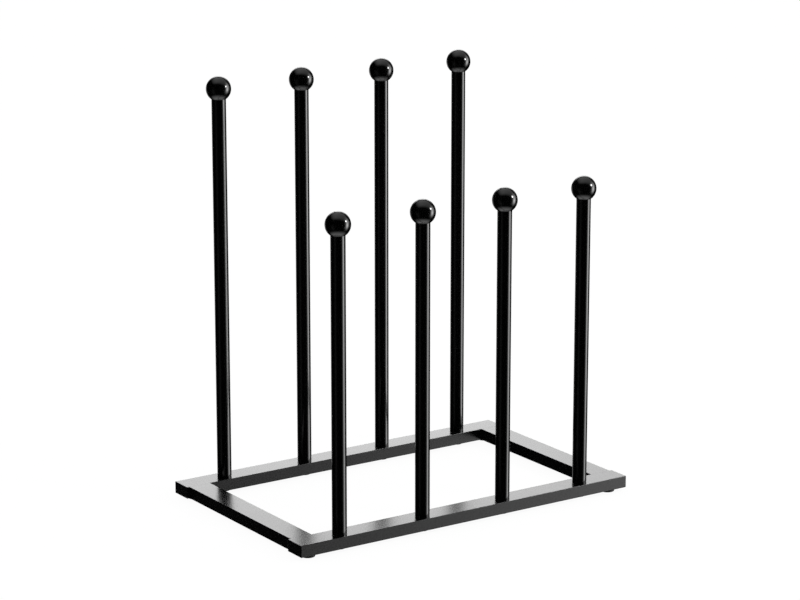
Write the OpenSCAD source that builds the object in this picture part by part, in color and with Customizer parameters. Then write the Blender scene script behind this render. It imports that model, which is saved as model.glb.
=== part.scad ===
// Boot rack for pairs of tall boots. A flat welded base of rectangular steel
// tube carries a front row of short rods and a back row of tall rods, each with
// a round ball on top, and a boot is pushed upside down over each rod.
// Millimetres, +Z up. The origin is on the floor under the middle of the base,
// the short rods are towards -Y, and X runs along the two long rails.

/* [Base] */
// Length of the welded base along X, without the end caps
base_len = 400; // [380:5:900]
// Depth of the base along Y, over both long rails
base_depth = 250; // [160:5:420]
// Width of the flat tube, seen from above
tube_w = 25; // [24:0.5:40]
// Height of the flat tube
tube_h = 12.5; // [11:0.5:25]
// Wall of the flat tube
tube_wall = 1.2; // [1:0.1:2]
// Outside corner radius of the flat tube
tube_corner_r = 0.4; // [0.3:0.1:1.6]

/* [Rods] */
// Rods in each row
rods_per_row = 4; // [2:1:4]
// Distance between neighbouring rods in a row
rod_pitch = 100; // [60:1:115]
// Outside diameter of a rod
rod_d = 15; // [14:0.5:18]
// Wall of the rod's round tube
rod_wall = 1.2; // [1:0.1:1.5]
// Length of a tall rod, from the rail to its ball
tall_rod_len = 405; // [200:5:600]
// Length of a short rod, from the rail to its ball
short_rod_len = 305; // [100:5:500]

/* [Balls] */
// Diameter of a ball
ball_d = 26; // [23:0.5:40]
// Flat lip of the ball's seat that shows around the rod's end
ball_seat_lip = 0.4; // [0.2:0.1:1]
// Length of the ball's spigot inside the rod
spigot_len = 18; // [10:1:30]
// Gap around the spigot's core, which the grip ribs take up
spigot_gap = 0.35; // [0.3:0.05:0.6]
// Grip ribs around the spigot
spigot_ribs = 6; // [3:1:10]

/* [Rod fixings] */
// Thread diameter of the rod screws
screw_d = 5; // [4:0.5:6]
// Head diameter of the rod screws
screw_head_d = 12; // [9:0.5:13]
// Head height of the rod screws, less than the feet
screw_head_h = 3.1; // [2.4:0.1:3.6]
// Length of thread in the rod's plug
thread_engagement = 10; // [8:1:14]
// Length of the threaded plug pressed into the foot of a rod
plug_len = 16; // [15:1:24]

/* [End caps] */
// Thickness of the cap outside the tube's end
cap_flange = 3; // [2:0.5:5]
// Rounding of the cap's outer edges
cap_edge_r = 0.6; // [0.3:0.1:0.9]
// Length of the cap's socket inside the tube
cap_socket_len = 6.5; // [4:0.5:6.5]
// Wall of the cap's socket
cap_socket_wall = 1.4; // [1:0.1:2]

/* [Feet] */
// Diameter of a foot
foot_d = 15; // [12:0.5:20]
// Height of a foot under the rail
foot_h = 4.2; // [3.8:0.1:8]
// Rounding of the foot's lower edge
foot_edge_r = 0.6; // [0.3:0.1:1.2]
// Diameter of the foot's stem where it goes through the rail
foot_stem_d = 7.6; // [6:0.2:8]
// How far the barbs stand out around the stem
foot_barb = 0.6; // [0.4:0.1:0.8]
// Height of the barbed head inside the rail
foot_barb_h = 4.5; // [3:0.5:6]
// Slot that lets the barbed head close up as it is pushed in
foot_slot = 1.2; // [0.8:0.1:1.6]

/* [Hidden] */
$fn = 64;
fine_fn = 96;                 // balls and the rods' round tube
cut = 1;                      // how far a cutter runs past the face it opens
press_gap = 0.05;             // radial gap of what is pressed in
hole_gap = 0.25;              // radial gap of a screw or a stem in its hole
thread_gap = 0.05;            // radial gap of a screw in its tapped bore
barb_gap = 0.2;               // gap between the barbs and the wall they hold behind

row_y = (base_depth - tube_w) / 2;        // middle of each long rail
end_x = (base_len - tube_w) / 2;          // middle of each short rail
rail_z = foot_h + tube_h / 2;             // middle height of all four rails
rail_top = foot_h + tube_h;
rod_hole_d = screw_d + 2 * hole_gap;
foot_hole_d = foot_stem_d + 2 * hole_gap;
tube_bore_w = tube_w - 2 * tube_wall;
tube_bore_h = tube_h - 2 * tube_wall;
tube_bore_r = max(0.1, tube_corner_r - tube_wall);
rod_bore_d = rod_d - 2 * rod_wall;
ball_seat_r = rod_d / 2 + ball_seat_lip;
ball_rise = sqrt(pow(ball_d / 2, 2) - pow(ball_seat_r, 2)); // seat to ball's middle

ENDS = ["left", "right"];

// Left to right place of rod i, counted from 1
function rod_x(i) = (i - (rods_per_row + 1) / 2) * rod_pitch;
// -1 for what is at the left or the front, 1 for the right or the back
function side(name) = name == "left" || name == "front" ? -1 : 1;

module gloss_black() { color([0.05, 0.05, 0.055]) children(); }
module moulded_black() { color([0.09, 0.09, 0.10]) children(); }
module bright_steel() { color([0.62, 0.63, 0.65]) children(); }

// Rectangle around the origin with true round corners
module rounded_rect(w, h, r) {
    square([w - 2 * r, h], center = true);
    square([w, h - 2 * r], center = true);
    for (x = [-1, 1], y = [-1, 1])
        translate([x * (w / 2 - r), y * (h / 2 - r)]) circle(r);
}

// Half section of a disc, for turning: its outer edge at the top is rounded
module disc_section(radius, height, edge_r) {
    square([radius - edge_r, height]);
    square([radius, height - edge_r]);
    translate([radius - edge_r, height - edge_r]) circle(edge_r);
}

// Rectangular bar along X from the origin, with the section of the tube's
// outside or of its bore
module bar_along_x(len, w, h, r) {
    rotate([90, 0, 90]) linear_extrude(len) rounded_rect(w, h, r);
}

// Flat tube along X from the origin, open at both ends
module flat_tube(len) {
    difference() {
        bar_along_x(len, tube_w, tube_h, tube_corner_r);
        translate([-cut, 0, 0])
            bar_along_x(len + 2 * cut, tube_bore_w, tube_bore_h, tube_bore_r);
    }
}

// Long rail with a screw hole through it under each rod and a hole for the
// foot's stem in its lower wall near each end
module long_rail(y) {
    difference() {
        translate([-base_len / 2, y, rail_z]) flat_tube(base_len);
        for (i = [1 : rods_per_row])
            translate([rod_x(i), y, foot_h - cut])
                cylinder(d = rod_hole_d, h = tube_h + 2 * cut);
        for (s = [-1, 1])
            translate([s * end_x, y, foot_h - cut])
                cylinder(d = foot_hole_d, h = tube_wall + 2 * cut);
    }
}

// Short rail, butted and welded between the backs of the long rails
module short_rail(x) {
    len = base_depth - 2 * tube_w;
    translate([x, -len / 2, rail_z]) rotate([0, 0, 90]) flat_tube(len);
}

// Plastic cap that closes a long rail: an outer plate as big as the tube, with
// rounded outer edges, and a hollow socket with two grip ribs inside the tube.
// The plate's inner face is at x = 0 and the socket points to -X
module end_cap() {
    grip = 0.2;
    core_w = tube_bore_w - 2 * (press_gap + grip);
    core_h = tube_bore_h - 2 * (press_gap + grip);
    core_r = 0.5;
    rib_len = 1;
    intersection() {
        bar_along_x(cap_flange, tube_w, tube_h, tube_corner_r);
        translate([cap_flange / 2 - cap_edge_r, 0, -tube_h])
            linear_extrude(2 * tube_h)
                rounded_rect(cap_flange + 2 * cap_edge_r, tube_w, cap_edge_r);
        translate([cap_flange / 2 - cap_edge_r, tube_w, 0]) rotate([90, 0, 0])
            linear_extrude(2 * tube_w)
                rounded_rect(cap_flange + 2 * cap_edge_r, tube_h, cap_edge_r);
    }
    difference() {
        union() {
            translate([-cap_socket_len, 0, 0])
                bar_along_x(cap_socket_len, core_w, core_h, core_r);
            for (k = [1, 2])
                translate([-k * cap_socket_len / 2.6, 0, 0])
                    bar_along_x(rib_len, core_w + 2 * grip, core_h + 2 * grip, core_r);
        }
        translate([-cap_socket_len - cut, 0, 0])
            bar_along_x(cap_socket_len + cut, core_w - 2 * cap_socket_wall,
                core_h - 2 * cap_socket_wall, 0.3);
    }
}

// Push-in foot: a low disc on the floor, a stem through the rail's lower wall
// and a split barbed head that springs open behind the wall
module foot() {
    neck = tube_wall + barb_gap;
    stem_r = foot_stem_d / 2;
    head_top = foot_h + neck + foot_barb_h;
    translate([0, 0, foot_h]) mirror([0, 0, 1])
        rotate_extrude() disc_section(foot_d / 2, foot_h, foot_edge_r);
    difference() {
        translate([0, 0, foot_h]) {
            cylinder(r = stem_r, h = neck);
            translate([0, 0, neck])
                cylinder(r1 = stem_r + foot_barb, r2 = stem_r - 2 * foot_barb, h = foot_barb_h);
        }
        for (turn = [0, 90])
            rotate([0, 0, turn])
                translate([-foot_d / 2, -foot_slot / 2, foot_h + tube_wall / 2])
                    cube([foot_d, foot_slot, head_top]);
    }
}

// Round tube of a rod, standing on the rail's top face
module rod(len) {
    translate([0, 0, rail_top]) difference() {
        cylinder(d = rod_d, h = len, $fn = fine_fn);
        translate([0, 0, -cut]) cylinder(d = rod_bore_d, h = len + 2 * cut, $fn = fine_fn);
    }
}

// Steel plug flush with the rod's lower end, tapped from below for the screw
module rod_plug() {
    lead_in = 0.6;
    plug_r = rod_bore_d / 2 - press_gap;
    tap_depth = thread_engagement + 2;
    translate([0, 0, rail_top]) difference() {
        union() {
            cylinder(r = plug_r, h = plug_len - lead_in);
            translate([0, 0, plug_len - lead_in])
                cylinder(r1 = plug_r, r2 = plug_r - lead_in, h = lead_in);
        }
        translate([0, 0, -cut]) cylinder(d = screw_d + 2 * thread_gap, h = tap_depth + cut);
    }
}

// Moulded ball with a flat seat for the end of the rod and a ribbed spigot
// that is driven into the rod
module ball(rod_len) {
    lead_in = 1.2;
    core_r = rod_bore_d / 2 - spigot_gap;
    rib_r = 0.5;
    rib_reach = rod_bore_d / 2 - press_gap - rib_r;
    translate([0, 0, rail_top + rod_len]) {
        difference() {
            translate([0, 0, ball_rise]) sphere(d = ball_d, $fn = fine_fn);
            translate([-ball_d, -ball_d, -ball_d]) cube([2 * ball_d, 2 * ball_d, ball_d]);
        }
        translate([0, 0, lead_in - spigot_len]) {
            cylinder(r = core_r, h = spigot_len - lead_in);
            for (k = [0 : spigot_ribs - 1])
                rotate([0, 0, k * 360 / spigot_ribs]) translate([rib_reach, 0, 0])
                    cylinder(r = rib_r, h = spigot_len - lead_in, $fn = 24);
        }
        translate([0, 0, -spigot_len])
            cylinder(r1 = core_r - lead_in / 2, r2 = core_r, h = lead_in);
    }
}

// Screw with a wide low head and a cross recess, head down under the rail
module rod_screw() {
    head_edge_r = 1;
    tip = 0.8;
    shank = tube_h + thread_engagement;
    recess_w = screw_d * 0.24;
    recess_len = screw_d * 0.88;
    recess_depth = screw_head_h * 0.6;
    translate([0, 0, foot_h]) {
        difference() {
            mirror([0, 0, 1]) rotate_extrude()
                disc_section(screw_head_d / 2, screw_head_h, head_edge_r);
            for (turn = [0, 90])
                rotate([0, 0, turn])
                    translate([-recess_len / 2, -recess_w / 2, -screw_head_h - cut])
                        cube([recess_len, recess_w, recess_depth + cut]);
        }
        cylinder(d = screw_d, h = shank - tip);
        translate([0, 0, shank - tip])
            cylinder(d1 = screw_d, d2 = screw_d - 2 * tip, h = tip);
    }
}

module front_rail() { gloss_black() long_rail(-row_y); }
module back_rail() { gloss_black() long_rail(row_y); }
module left_side_rail() { gloss_black() short_rail(-end_x); }
module right_side_rail() { gloss_black() short_rail(end_x); }

module end_cap_at(row, end) {
    moulded_black() translate([side(end) * base_len / 2, side(row) * row_y, rail_z])
        rotate([0, 0, side(end) < 0 ? 180 : 0]) end_cap();
}

module foot_at(row, end) {
    moulded_black() translate([side(end) * end_x, side(row) * row_y, 0]) foot();
}

module rod_at(i, row, len) { gloss_black() translate([rod_x(i), side(row) * row_y, 0]) rod(len); }
module plug_at(i, row) { bright_steel() translate([rod_x(i), side(row) * row_y, 0]) rod_plug(); }
module ball_at(i, row, len) { gloss_black() translate([rod_x(i), side(row) * row_y, 0]) ball(len); }

module rod_screws(row) {
    bright_steel() for (i = [1 : rods_per_row])
        translate([rod_x(i), side(row) * row_y, 0]) rod_screw();
}

front_rail();
back_rail();
left_side_rail();
right_side_rail();
for (row = ["front", "back"]) for (end = ENDS) {
    end_cap_at(row, end);
    foot_at(row, end);
}
for (i = [1 : rods_per_row]) {
    rod_at(i, "front", short_rod_len);
    plug_at(i, "front");
    ball_at(i, "front", short_rod_len);
    rod_at(i, "back", tall_rod_len);
    plug_at(i, "back");
    ball_at(i, "back", tall_rod_len);
}
rod_screws("front");  // front_rod_screws
rod_screws("back");  // back_rod_screws
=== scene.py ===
import math

import bmesh
import bpy
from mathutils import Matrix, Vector


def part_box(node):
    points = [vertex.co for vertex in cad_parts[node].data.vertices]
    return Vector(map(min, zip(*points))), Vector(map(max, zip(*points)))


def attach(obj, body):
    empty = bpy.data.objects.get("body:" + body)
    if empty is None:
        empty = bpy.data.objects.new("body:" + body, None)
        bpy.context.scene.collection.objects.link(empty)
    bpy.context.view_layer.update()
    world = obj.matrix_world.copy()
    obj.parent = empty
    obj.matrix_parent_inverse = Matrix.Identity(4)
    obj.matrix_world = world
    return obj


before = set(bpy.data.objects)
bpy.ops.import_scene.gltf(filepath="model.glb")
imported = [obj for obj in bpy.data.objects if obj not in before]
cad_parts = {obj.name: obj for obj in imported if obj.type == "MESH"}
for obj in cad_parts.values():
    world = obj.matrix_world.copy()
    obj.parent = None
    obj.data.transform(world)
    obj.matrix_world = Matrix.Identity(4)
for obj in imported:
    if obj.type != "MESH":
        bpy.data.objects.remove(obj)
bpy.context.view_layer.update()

# ---------------------------------------------------------------- welded base
# Four lengths of flat steel tube: two long rails with the short rails butted
# between them. The frame is powder coated after welding, a thick glossy film
# that has flowed out almost level and mirrors what stands on it a little softly.
rail_black = (0.0006, 0.0006, 0.00065)
rail_softness = 0.24
resin_ior = 1.5
film_unevenness = 0.05
thin_film_lift = 1.6
peel_depth = 0.00004
grain_share = 0.15


class Wire:
    """A shader socket that arithmetic and further nodes can be hung on."""

    def __init__(self, tree, socket=None):
        self.tree = tree
        self.socket = socket

    def node(self, kind, settings=None, sockets=None, output=0):
        made = self.tree.nodes.new(kind)
        for name, value in (settings or {}).items():
            setattr(made, name, value)
        for name, value in (sockets or {}).items():
            if isinstance(value, Wire):
                self.tree.links.new(value.socket, made.inputs[name])
            else:
                made.inputs[name].default_value = value
        return Wire(self.tree, made.outputs[output] if made.outputs else None)

    def maths(self, operation, first, second):
        return self.node("ShaderNodeMath", {"operation": operation}, {0: first, 1: second})

    def __add__(self, other):
        return self.maths("ADD", self, other)

    __radd__ = __add__

    def __sub__(self, other):
        return self.maths("SUBTRACT", self, other)

    def __rsub__(self, other):
        return self.maths("SUBTRACT", other, self)

    def __mul__(self, other):
        return self.maths("MULTIPLY", self, other)

    __rmul__ = __mul__

    def __truediv__(self, other):
        return self.maths("DIVIDE", self, other)

    def at_least(self, other):
        return self.maths("MAXIMUM", self, other)

    def rise(self, low, high):
        """0 up to low, 1 from high, and a smooth step between them."""
        return self.node(
            "ShaderNodeMapRange",
            {"interpolation_type": "SMOOTHSTEP"},
            {"Value": self, "From Min": low, "From Max": high, "To Min": 0.0, "To Max": 1.0},
        )


def start_material(name):
    """A new material with no nodes, a wire to build it on, and the place on the piece."""
    material = bpy.data.materials.new(name)
    material.use_nodes = True
    material.node_tree.nodes.clear()
    wire = Wire(material.node_tree)
    return material, wire, wire.node("ShaderNodeTexCoord", output="Object")


def mottle(place, per_metre, detail):
    """Cloudy noise from 0 to 1, with about that many blotches in a metre."""
    return place.node(
        "ShaderNodeTexNoise", sockets={"Vector": place, "Scale": per_metre, "Detail": detail}
    )


def tint(amount, first, second):
    """The first colour where amount is 0, and the second where it is 1."""
    return amount.node(
        "ShaderNodeMix",
        {"data_type": "RGBA"},
        {"Factor": amount, "A": (*first, 1.0), "B": (*second, 1.0)},
        output=2,
    )


def patchy(softness, spread, clouds):
    """A softness that the clouds change by up to half the spread, up and down."""
    return softness + spread * (clouds - 0.5)


def uneven(height, depth):
    """Surface normal of a relief that is depth metres deep where height goes from 0 to 1."""
    return height.node(
        "ShaderNodeBump", sockets={"Strength": 1.0, "Distance": depth, "Height": height}
    )


def clear_skin(softness):
    """Socket values for a full clear skin of resin over the colour."""
    return {
        "IOR": resin_ior,
        "Coat Weight": 1.0,
        "Coat Roughness": softness,
        "Coat IOR": resin_ior,
    }


def finish(wire, sockets):
    """The material's one surface, with these values and wires on its sockets."""
    surface = wire.node("ShaderNodeBsdfPrincipled", sockets=sockets)
    wire.node("ShaderNodeOutputMaterial", sockets={"Surface": surface})


def powder_coat(name, pigment, softness):
    """Black powder coat under its own clear skin: uneven flow and a faint orange peel."""
    paint, wire, place = start_material(name)
    flow = mottle(place, per_metre=34.0, detail=3.0)
    peel = mottle(place, per_metre=620.0, detail=1.5)
    grain = mottle(place, per_metre=2600.0, detail=2.0)
    thin_film = tuple(thin_film_lift * part for part in pigment)
    finish(
        wire,
        {
            "Base Color": tint(flow, pigment, thin_film),
            "Roughness": patchy(softness, film_unevenness, flow),
            "Normal": uneven(peel + grain_share * grain, peel_depth),
            **clear_skin(softness),
        },
    )
    return paint


def put_on(material, names):
    """Puts the material on the CAD pieces of these names."""
    for name in names:
        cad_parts[name].material_slots[0].material = material


base_paint = powder_coat("base_paint", rail_black, rail_softness)
put_on(base_paint, ["front_rail", "back_rail", "left_side_rail", "right_side_rail"])

# --------------------------------------------------------------------- welds
# Each short rail is welded to the long rails before painting: a rippled bead
# is left across the seam underneath, and the bead on top is ground flush, so
# that only the filled groove between the two tubes' rounded corners is left.
side_rail_low, side_rail_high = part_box("left_side_rail")
_, long_rail_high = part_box("front_rail")
tube_width = side_rail_high.x - side_rail_low.x
side_rail_x = long_rail_high.x - tube_width / 2
seam_y = side_rail_high.y
rail_underside = side_rail_low.z
rail_top = side_rail_high.z

bead_width = 0.0046
bead_proud = 0.0008
bead_sides = 24
bead_end_swell = 0.45
ripples = 13
ripple_swell = 1.12
smooth_below = math.radians(40)
corner_radius = 0.0004
corner_steps = 6
fill_overlap = 0.0005
fill_reach = corner_radius + 2 * fill_overlap
fill_depth = corner_radius + fill_overlap
fill_proud = 0.00001
tolerance = 0.00001


def pick(kind, test):
    """Selects only the verts or the edges of the mesh that pass the test."""
    bpy.ops.mesh.select_mode(type={"verts": "VERT", "edges": "EDGE"}[kind])
    bpy.ops.mesh.select_all(action="DESELECT")
    shape = bmesh.from_edit_mesh(bpy.context.object.data)
    for part in getattr(shape, kind):
        part.select_set(test(part))
    bmesh.update_edit_mesh(bpy.context.object.data)


def runs_along(edge):
    """True of an edge that runs along the seam."""
    start, stop = edge.verts
    return abs(start.co.x - stop.co.x) > tolerance


def ends_on_top(edge):
    """True of an edge at either end of the seam, on the top."""
    return all(
        abs(abs(vert.co.x) - tube_width / 2) < tolerance and vert.co.z > rail_top - tolerance
        for vert in edge.verts
    )


def model_bead():
    """The rippled bead under a short rail's back seam, made at the middle of the base."""
    bpy.ops.object.select_all(action="DESELECT")
    bpy.ops.mesh.primitive_cylinder_add(
        vertices=bead_sides,
        radius=bead_width / 2,
        depth=tube_width,
        location=(0, seam_y, rail_underside),
        rotation=(0, math.pi / 2, 0),
    )
    bead = bpy.context.object
    bpy.ops.object.transform_apply(location=True, rotation=True, scale=True)
    bpy.ops.object.mode_set(mode="EDIT")
    last_ring = 2 * ripples
    pick("edges", runs_along)
    bpy.ops.mesh.subdivide(number_cuts=last_ring - 1)
    step = tube_width / last_ring
    for ring in range(last_ring + 1):
        ring_x = -tube_width / 2 + ring * step
        swell = ripple_swell if ring % 2 else 1.0
        if ring in (0, last_ring):
            swell = bead_end_swell
        pick("verts", lambda vert: abs(vert.co.x - ring_x) < step / 4)
        bpy.ops.transform.resize(
            value=(1.0, swell, swell * 2 * bead_proud / bead_width),
            center_override=(ring_x, seam_y, rail_underside),
        )
    bpy.ops.object.mode_set(mode="OBJECT")
    bpy.ops.object.shade_smooth_by_angle(angle=smooth_below)
    return bead


def model_fill():
    """The groove's fill above it, a hair proud of the rails and rounded at both ends."""
    bpy.ops.object.select_all(action="DESELECT")
    bpy.ops.mesh.primitive_cube_add(
        size=1.0,
        location=(0, seam_y + fill_reach / 2 - fill_overlap, rail_top - fill_depth / 2),
        scale=(tube_width, fill_reach, fill_depth),
    )
    fill = bpy.context.object
    bpy.ops.object.transform_apply(location=True, rotation=True, scale=True)
    bpy.ops.object.mode_set(mode="EDIT")
    pick("edges", ends_on_top)
    bpy.ops.mesh.bevel(offset=corner_radius, segments=corner_steps, affect="EDGES")
    bpy.ops.mesh.select_all(action="SELECT")
    bpy.ops.transform.translate(value=(0, 0, fill_proud))
    bpy.ops.object.mode_set(mode="OBJECT")
    return fill


weld = model_bead()
fill = model_fill()
bpy.ops.object.select_all(action="DESELECT")
fill.select_set(True)
weld.select_set(True)
bpy.context.view_layer.objects.active = weld
bpy.ops.object.join()
weld.data.materials.append(base_paint)
for row, turn in (("front", math.pi), ("back", 0.0)):
    for end, side in (("left", -1), ("right", 1)):
        seam = weld.copy()
        seam.data = weld.data.copy()
        seam.name = f"{row}_{end}_weld"
        bpy.context.scene.collection.objects.link(seam)
        bpy.ops.object.select_all(action="DESELECT")
        seam.select_set(True)
        bpy.context.view_layer.objects.active = seam
        seam.rotation_euler = (0, 0, turn)
        seam.location = (side * side_rail_x, 0, 0)
        bpy.ops.object.transform_apply(location=True, rotation=True, scale=True)
        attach(seam, "root")
bpy.data.objects.remove(weld)

# ------------------------------------------------------------------ end caps
# Black polyethylene caps, injection moulded and polished like the paint beside
# them. A hollow socket with grip ribs is pressed into each end of a long rail.
cap_black = (0.0006, 0.0006, 0.0006)
cap_grey = (0.0011, 0.0011, 0.0011)
cap_unevenness = 0.04
corners = [f"{row}_{end}" for row in ("front", "back") for end in ("left", "right")]

cap_plastic, wire, place = start_material("cap_plastic")
flow_marks = mottle(place, per_metre=120.0, detail=3.0)
mould_skin = mottle(place, per_metre=1800.0, detail=1.0)
finish(
    wire,
    {
        "Base Color": tint(flow_marks, cap_black, cap_grey),
        "Roughness": patchy(rail_softness, cap_unevenness, flow_marks),
        "Normal": uneven(mould_skin, depth=0.000002),
        **clear_skin(rail_softness),
    },
)
put_on(cap_plastic, [f"{corner}_end_cap" for corner in corners])

# ---------------------------------------------------------------------- feet
# Round black feet of soft polyethylene, dull from the mould. A split barbed
# stem is pushed through the rail's lower wall and springs open behind it.
foot_black = (0.0008, 0.0008, 0.0008)
foot_scuff = (0.004, 0.004, 0.004)
foot_softness = 0.45
scuff_softness = 0.12
scuff_relief = 0.6

foot_plastic, wire, place = start_material("foot_plastic")
scuffs = mottle(place, per_metre=260.0, detail=4.0)
mould_skin = mottle(place, per_metre=2400.0, detail=1.0)
finish(
    wire,
    {
        "Base Color": tint(scuffs.rise(low=0.55, high=0.8), foot_black, foot_scuff),
        "Roughness": foot_softness + scuff_softness * scuffs,
        "IOR": resin_ior,
        "Normal": uneven(mould_skin + scuff_relief * scuffs, depth=0.000012),
    },
)
put_on(foot_plastic, [f"{corner}_foot" for corner in corners])

# ---------------------------------------------------------------------- rods
# Lengths of round steel tube that stand on the long rails, four short ones in
# front and four tall ones behind. They hang by one end to be powder coated, so
# the film on them is thinner than on the base, and it is glossier.
rod_black = (0.0005, 0.0005, 0.0005)
rod_softness = 0.14
rods = [(row, number) for row in ("short", "tall") for number in (1, 2, 3, 4)]

rod_paint = powder_coat("rod_paint", rod_black, rod_softness)
put_on(rod_paint, [f"{row}_rod_{number}" for row, number in rods])

# ----------------------------------------------------------------- rod plugs
# Plain steel plugs, turned and tapped, pressed into the rods' lower ends. The
# tool leaves fine rings all along them, and a little oil dulls the bare metal.
steel_bright = (0.56, 0.56, 0.57)
steel_oiled = (0.42, 0.41, 0.40)
plug_softness = 0.24
oil_softness = 0.14
rings_per_metre = 3300
rings_at_scale_one = 20 / math.tau
ring_wander = 0.3

plug_steel, wire, place = start_material("plug_steel")
rings = wire.node(
    "ShaderNodeTexWave",
    {"bands_direction": "Z"},
    {"Vector": place, "Scale": rings_per_metre / rings_at_scale_one, "Distortion": ring_wander},
    output="Fac",
)
oil = mottle(place, per_metre=180.0, detail=3.0)
finish(
    wire,
    {
        "Base Color": tint(oil, steel_bright, steel_oiled),
        "Metallic": 1.0,
        "Roughness": plug_softness + oil_softness * oil,
        "Normal": uneven(rings, depth=0.000006),
    },
)
put_on(plug_steel, [f"{row}_rod_plug_{number}" for row, number in rods])

# -------------------------------------------------------------------- screws
# Steel screws driven up through the long rails into the rods' plugs, with wide
# low heads under the rails. The black zinc on them is thin and slightly cloudy.
zinc_black = (0.018, 0.018, 0.02)
zinc_cloud = (0.045, 0.044, 0.043)
zinc_softness = 0.3
cloud_softness = 0.2

screw_steel, wire, place = start_material("screw_steel")
cloud = mottle(place, per_metre=420.0, detail=4.0)
scratches = mottle(place, per_metre=3600.0, detail=2.0)
finish(
    wire,
    {
        "Base Color": tint(cloud, zinc_black, zinc_cloud),
        "Metallic": 0.8,
        "Roughness": zinc_softness + cloud_softness * cloud,
        "Normal": uneven(scratches, depth=0.000004),
    },
)
put_on(screw_steel, ["front_rod_screws", "back_rod_screws"])

# --------------------------------------------------------------------- balls
# Solid black balls, moulded in one with the ribbed spigots that are driven into
# the rods. They are tumbled until they shine, which leaves the skin very slightly
# wavy and of uneven polish.
ball_black = (0.0005, 0.0005, 0.0005)
ball_grey = (0.0010, 0.0010, 0.0010)
ball_softness = 0.14
ball_unevenness = 0.03

ball_gloss, wire, place = start_material("ball_gloss")
polish = mottle(place, per_metre=90.0, detail=3.0)
waves = mottle(place, per_metre=240.0, detail=1.0)
finish(
    wire,
    {
        "Base Color": tint(polish, ball_black, ball_grey),
        "Roughness": patchy(ball_softness, ball_unevenness, polish),
        "Normal": uneven(waves, depth=0.000006),
        **clear_skin(ball_softness),
    },
)
put_on(ball_gloss, [f"{row}_rod_ball_{number}" for row, number in rods])

# --------------------------------------------------------------------- table
# A plain white table top. Most of its white is its own glow, and only a little
# of it is the room's light sent back, so that the rack's shadow on it is faint.
# Gloss doesn't mirror the table itself.
table_size = 30.0
table_shade = 0.06
table_white = 1.003
ambient = 0.9

bpy.ops.object.select_all(action="DESELECT")
bpy.ops.mesh.primitive_plane_add(size=table_size, location=(0, 0, 0))
table = bpy.context.object
table.name = "table"
white_top, wire, place = start_material("white_top")
matt = wire.node(
    "ShaderNodeBsdfDiffuse", sockets={"Color": (table_shade, table_shade, table_shade, 1.0)}
)
glow = wire.node(
    "ShaderNodeEmission",
    sockets={"Color": (1, 1, 1, 1), "Strength": table_white - ambient * table_shade},
)
top = wire.node("ShaderNodeAddShader", sockets={0: matt, 1: glow})
wire.node("ShaderNodeOutputMaterial", sockets={"Surface": top})
table.data.materials.append(white_top)
table.visible_glossy = False
table.visible_shadow = False

# ---------------------------------------------------------------------- room
# A white room that lights everything evenly. Only gloss picks up the shapes in
# its light: a ceiling panel, tall soft strips, the walls, and the lit table right
# below. Bearings run from +Y towards +X. They and the heights are in degrees.
panel_bearing = 36.5
panel_strength = 0.84
table_strength = 0.86
just_above_level = 0.001

studio = bpy.data.worlds.new("studio")
bpy.context.scene.world = studio
studio.use_nodes = True
studio.node_tree.nodes.clear()
studio.cycles.sampling_method = "NONE"
sky = Wire(studio.node_tree)
gaze = sky.node("ShaderNodeTexCoord", output="Generated")


def towards(bearing, rise):
    """Unit vector to a bearing and a height."""
    b, r = math.radians(bearing), math.radians(rise)
    return Vector((math.sin(b) * math.cos(r), math.cos(b) * math.cos(r), math.sin(r)))


def along(axis):
    """How far the ray's direction goes along an axis."""
    return sky.node(
        "ShaderNodeVectorMath", {"operation": "DOT_PRODUCT"}, {0: gaze, 1: tuple(axis)}, output="Value"
    )


def on_ceiling(bearing):
    """How far along a bearing the ray meets a ceiling that is one metre up."""
    return along(towards(bearing, 0)) / along((0, 0, 1)).at_least(just_above_level)


def faded(value, fade_in, fade_out):
    """A fade in over the first stretch of values, times a fade out over the other."""
    return value.rise(*fade_in) * (1.0 - value.rise(*fade_out))


def glow_at(bearing, rise, wide, tall, strength):
    """Soft oval glow at a bearing and a height; wide and tall are its spread."""
    ahead = towards(bearing, rise)
    right = towards(bearing + 90, 0)
    up = right.cross(ahead)
    front = along(ahead)
    across = sky.maths("ARCTAN2", along(right), front)
    above = sky.maths("ARCTAN2", along(up), front)
    spread = across * across * (1 / math.radians(wide) ** 2)
    spread = spread + above * above * (1 / math.radians(tall) ** 2)
    return strength * sky.maths("POWER", math.exp(-1), spread) * front.rise(low=0.0, high=0.1)


def rays(kind):
    """1 for rays of this kind, and 0 for all others."""
    return sky.node("ShaderNodeLightPath", output=kind)


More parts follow.
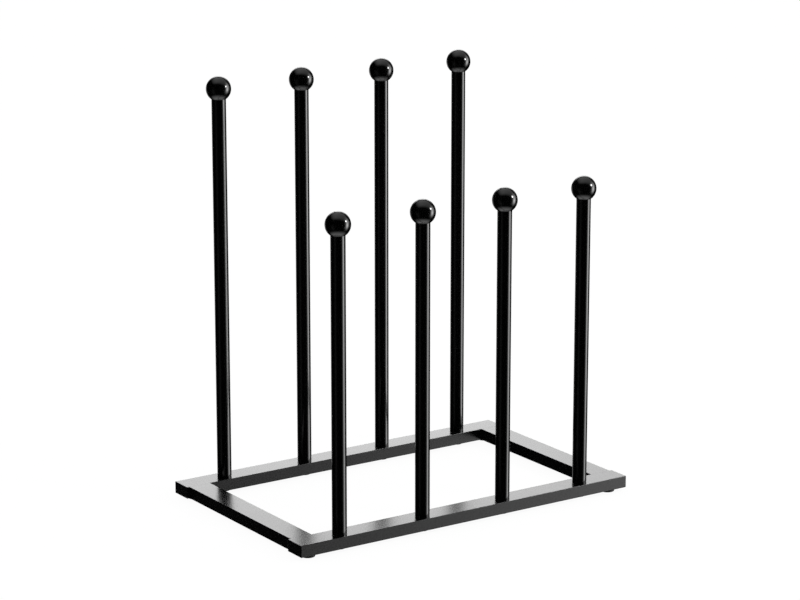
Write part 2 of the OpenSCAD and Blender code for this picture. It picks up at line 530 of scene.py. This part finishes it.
height = along((0, 0, 1))
ceiling = panel_strength * height.rise(low=0.0, high=0.15)
ceiling *= faded(on_ceiling(panel_bearing), fade_in=(-0.91, -0.05), fade_out=(0.86, 1.37))
ceiling *= faded(on_ceiling(panel_bearing + 90), fade_in=(-1.2, -0.09), fade_out=(-2.7, 3.2))
lit_table = table_strength * (0.0 - height).rise(low=0.683, high=1.049)
strip = glow_at(bearing=124.5, rise=-5, wide=12.5, tall=17.7, strength=4.6)
high_strip = glow_at(bearing=111, rise=15, wide=13.5, tall=16.5, strength=1.8)
strip_foot = glow_at(bearing=139, rise=-20, wide=12, tall=9, strength=0.38)
pale_wall = glow_at(bearing=32, rise=16, wide=16, tall=7.5, strength=2.55)
back_wall = glow_at(bearing=2, rise=-14, wide=12, tall=12, strength=0.35)
left_wall = glow_at(bearing=258, rise=-20, wide=14, tall=24, strength=0.05)
walls = pale_wall + back_wall + left_wall
shapes = ceiling + lit_table + strip + high_strip + strip_foot + walls
seen = rays("Is Camera Ray").at_least(rays("Is Transmission Ray"))
mirrored = rays("Is Glossy Ray")
light = seen.at_least(shapes * mirrored).at_least(ambient * (1.0 - mirrored) * (1.0 - seen))
room = sky.node("ShaderNodeBackground", sockets={"Color": (1, 1, 1, 1), "Strength": light})
sky.node("ShaderNodeOutputWorld", sockets={"Surface": room})

# ---------------------------------------------------------------- round lamp
# A round lamp two metres off the rack's front right corner, and just over a metre
# above the table. It gives each ball its small round highlight, and each rod a
# highlight that fades towards the base.
lamp_distance = 2.0
lamp_aim = Vector((0, 0, 0.382))
lamp_radius = 0.207
lamp_watts = 9.4
to_lamp = towards(bearing=133.3, rise=22.2)

bpy.ops.object.light_add(
    type="AREA",
    location=lamp_aim + lamp_distance * to_lamp,
    rotation=to_lamp.to_track_quat("Z", "Y").to_euler(),
)
round_lamp = bpy.context.object
round_lamp.name = "round_lamp"
round_lamp.data.shape = "DISK"
round_lamp.data.size = 2 * lamp_radius
round_lamp.data.energy = lamp_watts
round_lamp.visible_camera = False

# -------------------------------------------------------------------- camera
# A long lens three metres away, in front of the rack and to its left, that
# looks down on it a little. The sensor and the focal length are in millimetres.
camera_place = (-1.634409, -2.428065, 0.957157)
camera_bearing = 33.9188
camera_dip = 14.2951

lens = bpy.data.cameras.new("viewpoint")
lens.sensor_width = 36.0
lens.lens = 130.75
viewpoint = bpy.data.objects.new("viewpoint", lens)
bpy.context.scene.collection.objects.link(viewpoint)
viewpoint.location = camera_place
viewpoint.rotation_euler = (math.radians(90 - camera_dip), 0.0, -math.radians(camera_bearing))
bpy.context.scene.camera = viewpoint
bpy.context.scene.view_settings.view_transform = "Standard"
